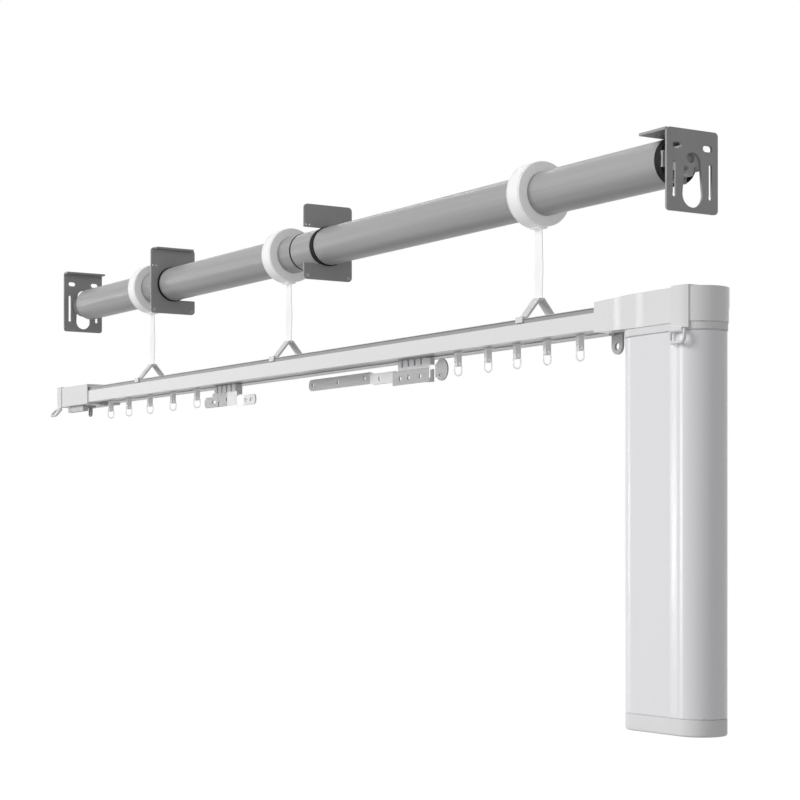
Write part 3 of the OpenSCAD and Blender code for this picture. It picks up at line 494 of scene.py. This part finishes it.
def flange_profile(low, high, bore, rim, round_r):
    """A disc with a rounded rim, as a closed (offset along X, radius) profile."""
    quarter = math.pi / 2
    points = [(low, bore)]
    points += arc((low + round_r, rim - round_r), round_r, math.pi, -quarter, 6)
    points += arc((high - round_r, rim - round_r), round_r, quarter, -quarter, 6)
    points.append((high, bore))
    return points


def make_spools():
    """The white spools with two flanges each, which turn with the tube."""
    bore = 22.55 * MM
    rim = 33 * MM
    rim_round = 1.2 * MM
    inner = 8.5 * MM
    outer = 11 * MM
    hub_end = 8.6 * MM
    groove_end = 7.0 * MM
    collar_r = 28.2 * MM
    core_r = 24.5 * MM
    hub = mirrored([
        (groove_end, core_r),
        (groove_end, collar_r),
        (hub_end, collar_r),
        (hub_end, bore),
    ])
    bm = bmesh.new()
    for x in SPOOL_X:
        for low, high in ((-outer, -inner), (inner, outer)):
            lathe_x(bm, flange_profile(low, high, bore, rim, rim_round), x, AXIS_Z)
        lathe_x(bm, hub, x, AXIS_Z)
    piece("spool_flanges", bm, RING_WHITE, "lift_tube", 50, ["strap_spools"])


def make_strap(index, x):
    """A flat strap from the guide's outlet down to its hanger, with one slight twist."""
    thick = 0.8 * MM
    top = STRAP_TOP_Z + 2 * MM
    low = HANGER_TOP_Z - 2.4 * MM
    most_twist = math.radians(7)
    twist_start = 0.25
    twist_length = 0.6
    most_sway = 0.5 * MM
    steps = 60
    edges = (-1, -0.4, 0.4, 1)
    columns = len(edges) - 1
    outline = [(edge, -1) for edge in edges] + [(edge, 1) for edge in reversed(edges)]

    bm = bmesh.new()
    uv = bm.loops.layers.uv.new("UVMap")
    rows = []
    for k in range(steps + 1):
        share = k / steps
        twisted = min(1.0, max(0.0, (share - twist_start) / twist_length))
        twist = most_twist * math.sin(math.pi * twisted) ** 2
        across = Vector((math.cos(twist), math.sin(twist), 0))
        out = Vector((-math.sin(twist), math.cos(twist), 0))
        sway = most_sway * math.sin(math.pi * share)
        middle = Vector((x + sway, 0, top + (low - top) * share))
        rows.append([
            bm.verts.new(middle + across * (edge * STRAP_W / 2) + out * (side * thick / 2))
            for edge, side in outline
        ])
    for k in range(steps):
        for i in range(len(outline)):
            j = (i + 1) % len(outline)
            face = bm.faces.new((rows[k][i], rows[k][j], rows[k + 1][j], rows[k + 1][i]))
            corners = ((i, k), (i + 1, k), (i + 1, k + 1), (i, k + 1))
            for loop, (u, v) in zip(face.loops, corners):
                loop[uv].uv = (u * STRAP_W / columns, v * (top - low) / steps)
    bm.faces.new(list(reversed(rows[0])))
    bm.faces.new(rows[-1])
    strap = piece("strap_%d" % index, bm, WEBBING, None, 60)
    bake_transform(strap)
    return strap


make_spools()
straps = [make_strap(i + 1, x) for i, x in enumerate(SPOOL_X)]
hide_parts("lift_straps")


# Motor seams and cap


def make_lock_ring():
    """The seam ring under the head, with a fine groove above it and a deeper one below."""
    outer_r = MOTOR_R + 0.6 * MM
    upper_h = 0.4 * MM
    upper_depth = 0.3 * MM
    lower_h = 1.0 * MM
    lower_depth = 1.6 * MM
    slope = 0.3 * MM
    levels = [
        (outer_r - upper_depth, HEAD_SEAM_Z),
        (outer_r - upper_depth, HEAD_SEAM_Z - upper_h),
        (outer_r, HEAD_SEAM_Z - upper_h - slope),
        (outer_r, LOCK_SEAM_Z + lower_h + slope),
        (outer_r - lower_depth, LOCK_SEAM_Z + lower_h),
        (outer_r - lower_depth, LOCK_SEAM_Z),
    ]
    bm = bmesh.new()
    bridge(bm, [round_ended(MOTOR_X0, MOTOR_X1, radius, z) for radius, z in levels])
    piece("seam_ring", bm, WHITE, "track", replaces=["lock_ring"])


def make_bottom_cap():
    """The bottom cap: a shadow groove above it and a rounded lower edge."""
    edge = 2.4 * MM
    groove_h = 0.6 * MM
    groove_depth = 1.0 * MM
    slope = 0.4 * MM
    levels = [
        (MOTOR_R - groove_depth, CAP_SEAM_Z),
        (MOTOR_R - groove_depth, CAP_SEAM_Z - groove_h),
        (MOTOR_R, CAP_SEAM_Z - groove_h - slope),
    ]
    levels += arc((MOTOR_R - edge, CAP_BOTTOM_Z + edge), edge, 0, -math.pi / 2, 7)
    bm = bmesh.new()
    bridge(bm, [round_ended(MOTOR_X0, MOTOR_X1, radius, z) for radius, z in levels])
    piece("bottom_cap", bm, WHITE, "track", replaces=["motor_bottom_cap"])


make_lock_ring()
make_bottom_cap()


# Glider loops and levers


def make_glider_loop(key):
    """An oval clear loop and its cross pin, which has a boss in the middle."""
    x, pin_y, pin_z = PIVOTS["loop_swing_" + key]
    loop_r = 4.6 * MM
    wire_r = 0.9 * MM
    top = pin_z - 3.2 * MM
    low = pin_z - 8.2 * MM
    boss_r = 2.6 * MM
    boss_end = 0.9 * MM
    pin_r = 1.2 * MM
    pin_tip_r = 0.9 * MM
    pin_end = 2.9 * MM
    bevel = 0.2 * MM
    oval = arc((pin_y, top), loop_r, 0, math.pi, 16)
    oval += arc((pin_y, low), loop_r, math.pi, math.pi, 16)
    profile = mirrored([
        (boss_end - bevel, boss_r),
        (boss_end, boss_r - bevel),
        (boss_end, pin_r),
        (pin_end - bevel, pin_r),
        (pin_end, pin_tip_r),
    ])
    bm = bmesh.new()
    wire(bm, [(x, y, z) for y, z in oval], wire_r, (1, 0, 0), 12, closed=True)
    bridge(bm, [
        [
            (x + along, pin_y + radius * math.cos(a), pin_z + radius * math.sin(a))
            for a in round_angles(24)
        ]
        for along, radius in profile
    ])
    piece("loop_" + key, bm, CLEAR, "loop_" + key, replaces=["ring_" + key])


for key in GLIDERS:
    make_glider_loop(key)


def make_lever(side, drop, tilt):
    """A rounded wire lever, hung from its pivot: pivot bar, two arms and a bottom bar."""
    node = "clip_lever_" + side
    pivot_y, pivot_z = PIVOTS[node + "_swing"][1:]
    arm_r = 1.7 * MM
    pivot_r = 1.1 * MM
    inset = 1.8 * MM
    x0 = low_of(node, X) + inset
    x1 = high_of(node, X) - inset
    turn = 3.6 * MM
    quarter = math.pi / 2
    bar = [(x0, 0.0), (x1, 0.0)]
    path = [(x1, 0.0)]
    for center_x, start in ((x1 - turn, 0.0), (x0 + turn, -quarter)):
        path += arc((center_x, turn - drop), turn, start, -quarter, 6)
    path.append((x0, 0.0))
    along = Vector((0, -math.sin(tilt), math.cos(tilt)))
    flat = (0, math.cos(tilt), math.sin(tilt))
    bm = bmesh.new()
    for line, wire_r in ((path, arm_r), (bar, pivot_r)):
        points = [Vector((x, pivot_y, pivot_z)) + along * height for x, height in line]
        wire(bm, points, wire_r, flat, 14, closed=False)
    piece("lever_" + side, bm, WHITE, "lever_" + side, replaces=[node])


make_lever("drive", drop=11.5 * MM, tilt=math.radians(-6))
make_lever("idler", drop=13.0 * MM, tilt=math.radians(-42))


# Small trim


def make_screws():
    """Small domed screws in the lower corners of the middle brackets' plates."""
    plate_t = 2.5 * MM
    head_r = 2.5 * MM
    head_h = 0.9 * MM
    from_middle = 28 * MM
    from_low_edge = 4.6 * MM
    faces = (high_of("mid_bracket_center", X), low_of("mid_bracket_left", X) + plate_t)
    z = low_of("mid_bracket_center", Z) + from_low_edge
    bm = bmesh.new()
    for x in faces:
        for y in (-from_middle, from_middle):
            dome_screw(bm, Vector((x, y, z)), head_r, head_h)
    piece("corner_screws", bm, LIGHT, "ceiling_frame")


def make_crown():
    """Small blocks round the rim of the motor's end disc, with bevelled outer corners."""
    blocks = 20
    low = high_of("motor_head", X)
    high = low + 1.4 * MM
    bevel = 0.3 * MM
    narrowed = 0.85
    # Half a block's outline, as (sideways, outward) from the motor's axis.
    half = [(0.8 * MM, 20.9 * MM), (1.3 * MM, 20.4 * MM), (1.5 * MM, 17.5 * MM)]
    bm = bmesh.new()
    for k in range(blocks):
        turn = Matrix.Rotation(2 * math.pi * (k + 0.5) / blocks, 4, "X")
        bridge(bm, [
            [
                turn @ Vector((x, across * share, out)) + Vector((0, 0, AXIS_Z))
                for across, out in mirrored(half)
            ]
            for x, share in ((low, 1.0), (high - bevel, 1.0), (high, narrowed))
        ])
    piece("motor_crown", bm, BLACK, "ceiling_frame")


make_screws()
make_crown()


# Light, floor and camera


def add_sun(name, toward, strength, spread):
    """A sun that shines along a direction, spread over an angle in degrees."""
    data = bpy.data.lights.new(name, "SUN")
    data.energy = strength
    data.angle = math.radians(spread)
    sun = add_object(name, data)
    sun.rotation_euler = Vector(toward).to_track_quat("-Z", "Y").to_euler()


def seen_or_reflected(tree):
    """1 for rays from the camera or a reflection, 0 for the rays that light the object."""
    rays = tree.nodes.new("ShaderNodeLightPath").outputs
    seen = math_node(tree, "MAXIMUM", rays["Is Camera Ray"], rays["Is Glossy Ray"])
    return math_node(tree, "MAXIMUM", seen, rays["Is Transmission Ray"])


def background(tree, strength):
    """A white background of the given strength."""
    node = tree.nodes.new("ShaderNodeBackground")
    node.inputs["Color"].default_value = (1, 1, 1, 1)
    node.inputs["Strength"].default_value = strength
    return node.outputs["Background"]


def make_world(ambient):
    """A white surround that lights the object at the ambient strength."""
    world = bpy.data.worlds.new("studio")
    bpy.context.scene.world = world
    world.use_nodes = True
    tree = world.node_tree
    tree.nodes.clear()
    out = tree.nodes.new("ShaderNodeOutputWorld")
    mix = tree.nodes.new("ShaderNodeMixShader")
    tree.links.new(seen_or_reflected(tree), mix.inputs["Fac"])
    tree.links.new(background(tree, ambient), mix.inputs[1])
    tree.links.new(background(tree, 1.0), mix.inputs[2])
    tree.links.new(mix.outputs["Shader"], out.inputs["Surface"])


def floor_material():
    """A matt floor that shows as white, without lighting the object more."""
    mat = bpy.data.materials.new("floor_white")
    mat.use_nodes = True
    tree = mat.node_tree
    shader = surface(mat)
    shader.inputs["Base Color"].default_value = (*grey(0.62), 1)
    shader.inputs["Roughness"].default_value = 0.9
    glow_strength = 0.7
    glow = tree.nodes.new("ShaderNodeEmission")
    glow.inputs["Color"].default_value = (1, 1, 1, 1)
    lift = math_node(tree, "MULTIPLY", seen_or_reflected(tree), glow_strength)
    tree.links.new(lift, glow.inputs["Strength"])
    both = tree.nodes.new("ShaderNodeAddShader")
    tree.links.new(shader.outputs["BSDF"], both.inputs[0])
    tree.links.new(glow.outputs["Emission"], both.inputs[1])
    tree.links.new(both.outputs["Shader"], tree.nodes["Material Output"].inputs["Surface"])
    return mat


def make_floor(z, half):
    """A square floor at one height."""
    bm = bmesh.new()
    corners = [(-half, -half, z), (half, -half, z), (half, half, z), (-half, half, z)]
    bm.faces.new([bm.verts.new(corner) for corner in corners])
    floor = add_object("floor", mesh_from("floor", bm))
    floor.data.materials.append(floor_material())


def make_camera():
    """The camera at the photograph's place and angle, fitted to the tube, the rail and the motor."""
    photo_px = 800
    focal_px = 1996
    sensor = 36
    data = bpy.data.cameras.new("photo_camera")
    data.sensor_width = sensor
    data.lens = focal_px / photo_px * sensor
    data.shift_y = 0.1716
    data.clip_end = 200
    camera = add_object("photo_camera", data)
    camera.location = (2.0691, -1.2047, -0.3969)
    camera.rotation_euler = (math.radians(90), 0, math.radians(57.67))
    bpy.context.scene.camera = camera


# Name, direction, strength and spread. The last five suns are narrow and weak, and each
# gives one highlight, where a face mirrors it to the camera. The edge suns suit front faces
# turned a little to +X, and the flare suns those turned a little to -X: at the camera's
# height, or at the gearbox head's where the name ends in top. The top line shows on
# rounded upper edges.
SUNS = (
    ("key", (0.30, 0.85, -0.45), 1.42, 25),
    ("fill", (-0.85, 0.35, -0.20), 0.35, 50),
    ("edge", (0.56, 0.83, 0), 0.25, 4),
    ("edge_top", (0.56, 0.82, -0.125), 0.16, 5),
    ("flare", (0.925, 0.38, 0), 0.10, 4),
    ("flare_top", (0.92, 0.37, -0.12), 0.05, 6),
    ("top_line", (0.80, -0.229, -0.548), 0.05, 5),
)

make_world(ambient=0.25)
make_floor(z=-1.9, half=30)
for sun in SUNS:
    add_sun(*sun)
make_camera()
bpy.context.scene.view_settings.view_transform = "Standard"
